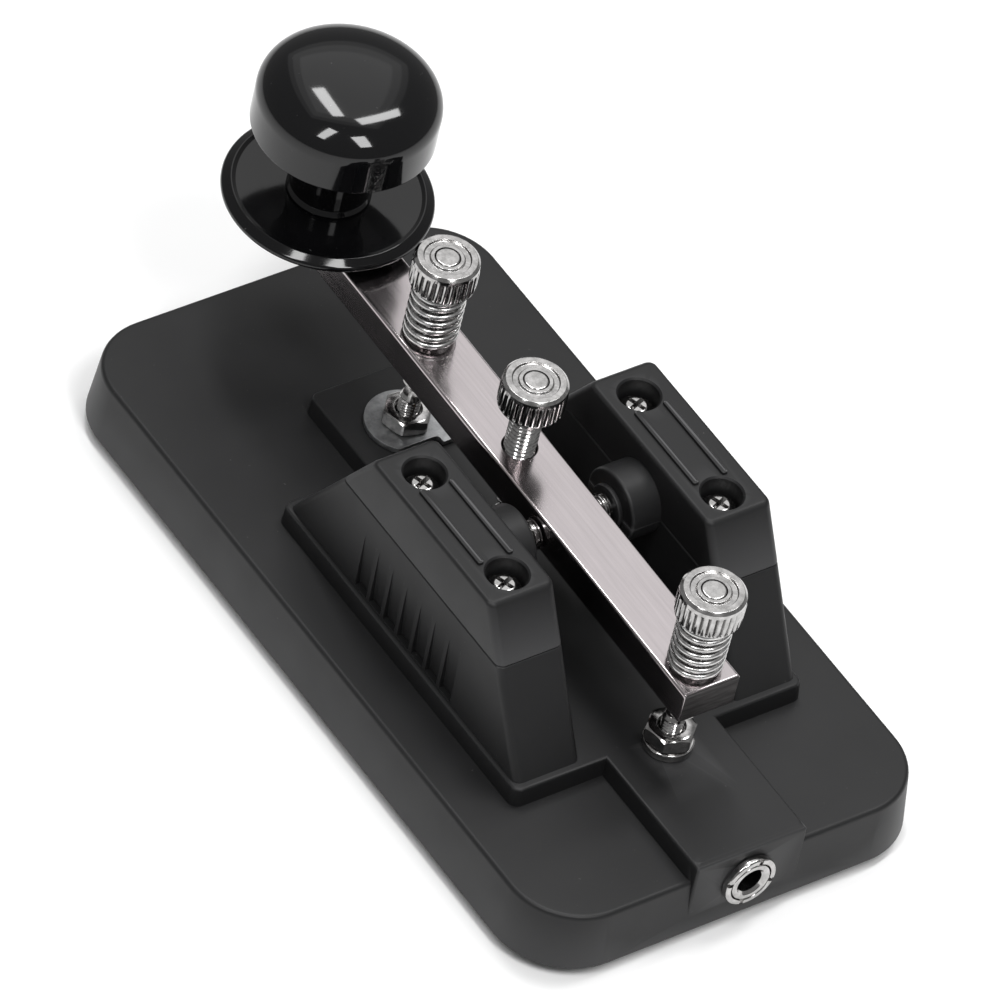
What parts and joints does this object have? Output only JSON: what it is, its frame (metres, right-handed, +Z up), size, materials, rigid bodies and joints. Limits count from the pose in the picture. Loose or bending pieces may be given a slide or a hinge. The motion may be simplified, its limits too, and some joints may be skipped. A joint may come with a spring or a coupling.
{
  "type": "morse key",
  "caption": "Straight telegraph key: sprung steel lever on a cross axle between two pedestals, round skirted knob, knurled adjusting screws and a jack socket in the rear of the base.",
  "frame": {"origin": "on the table under the middle of the overall box", "axes": "+Z up, +Y from the jack panel to the knob, +X to the right seen from the jack"},
  "size_m": [0.0618, 0.1212, 0.0565],
  "materials": {
    "moulded_black": "satin moulded",
    "gloss_black": "polished moulded",
    "steel_strip": "brushed along the arm",
    "nickel": "nickel plated",
    "brass": "turned",
    "zinc_sheet": "dull zinc plated",
    "spring_wire": "drawn wire",
    "foot_rubber": "matt",
    "red_sleeve": "insulation",
    "black_sleeve": "insulation"
  },
  "bodies": {
    "base": {"base_shell": "moulded_black", "left_bearing_cap": "moulded_black", "right_bearing_cap": "moulded_black", "left_bearing_bush": "moulded_black", "right_bearing_bush": "moulded_black", "jack_body": "moulded_black", "bottom_plate": "zinc_sheet", "front_contact_lug": "zinc_sheet", "cap_screw_left_front": "nickel", "cap_screw_left_rear": "nickel", "cap_screw_right_front": "nickel", "cap_screw_right_rear": "nickel", "plate_screw_left_front": "nickel", "plate_screw_left_rear": "nickel", "plate_screw_right_front": "nickel", "plate_screw_right_rear": "nickel", "front_contact_stud": "nickel", "front_contact_nut": "nickel", "front_contact_under_nut": "nickel", "rear_stop_stud": "nickel", "rear_stop_washer": "nickel", "rear_stop_nut": "nickel", "rear_stop_under_nut": "nickel", "jack_barrel": "nickel", "jack_ring_nut": "nickel", "foot_left_front": "foot_rubber", "foot_left_rear": "foot_rubber", "foot_right_front": "foot_rubber", "foot_right_rear": "foot_rubber", "return_spring_seat": "brass", "jack_tip_tag": "brass", "jack_sleeve_tag": "brass", "contact_lead": "red_sleeve", "lever_lead": "black_sleeve", "return_spring": "spring_wire"},
    "lever": {"lever_arm": "steel_strip", "axle": "steel_strip", "left_axle_collar": "nickel", "right_axle_collar": "nickel", "knob_skirt": "gloss_black", "knob": "gloss_black", "knob_screw": "nickel"},
    "gap_screw_travel": {"gap_screw_spring": "spring_wire"},
    "gap_screw": {"gap_screw_head": "nickel", "gap_screw_shank": "nickel"},
    "stop_screw_travel": {"stop_screw_spring": "spring_wire"},
    "stop_screw": {"stop_screw_head": "nickel", "stop_screw_shank": "nickel"},
    "tension_travel": {"tension_button": "brass"},
    "tension_screw": {"tension_screw_head": "nickel", "tension_screw_shank": "nickel"}
  },
  "joints": [
    {"name": "lever_rock", "type": "hinge", "parent": "base", "child": "lever", "pos_m": [0, -0.01128, 0.027], "axis": [-1, 0, 0], "range_deg": [0, 1.8], "stiffness_Nm_per_rad": 0.2, "springref_deg": -12.89, "deforming": ["return_spring"]},
    {"name": "gap_screw_travel", "type": "slide", "parent": "lever", "child": "gap_screw_travel", "axis": [0, -0.0222, 0.9998], "range_m": [0, 0.0015], "deforming": ["gap_screw_spring"]},
    {"name": "gap_screw_turn", "type": "hinge", "parent": "gap_screw_travel", "child": "gap_screw", "pos_m": [0, 0.02112, 0.04072], "axis": [0, -0.0222, 0.9998], "range_deg": [0, 771.5]},
    {"name": "stop_screw_travel", "type": "slide", "parent": "lever", "child": "stop_screw_travel", "axis": [0, -0.0222, 0.9998], "range_m": [0, 0.0015], "deforming": ["stop_screw_spring"]},
    {"name": "stop_screw_turn", "type": "hinge", "parent": "stop_screw_travel", "child": "stop_screw", "pos_m": [0, -0.04105, 0.03884], "axis": [0, -0.0222, 0.9998], "range_deg": [0, 771.5]},
    {"name": "tension_travel", "type": "slide", "parent": "lever", "child": "tension_travel", "axis": [0, -0.0222, 0.9998], "range_m": [-0.001, 0.001]},
    {"name": "tension_screw_turn", "type": "hinge", "parent": "tension_travel", "child": "tension_screw", "pos_m": [0, -0.00033, 0.03825], "axis": [0, -0.0222, 0.9998], "range_deg": [-514.5, 514.5]}
  ],
  "couplings": [
    {"joint": "gap_screw_turn", "follows": "gap_screw_travel", "rad_per_m": 8976},
    {"joint": "stop_screw_turn", "follows": "stop_screw_travel", "rad_per_m": 8976},
    {"joint": "tension_screw_turn", "follows": "tension_travel", "rad_per_m": 8976}
  ]
}
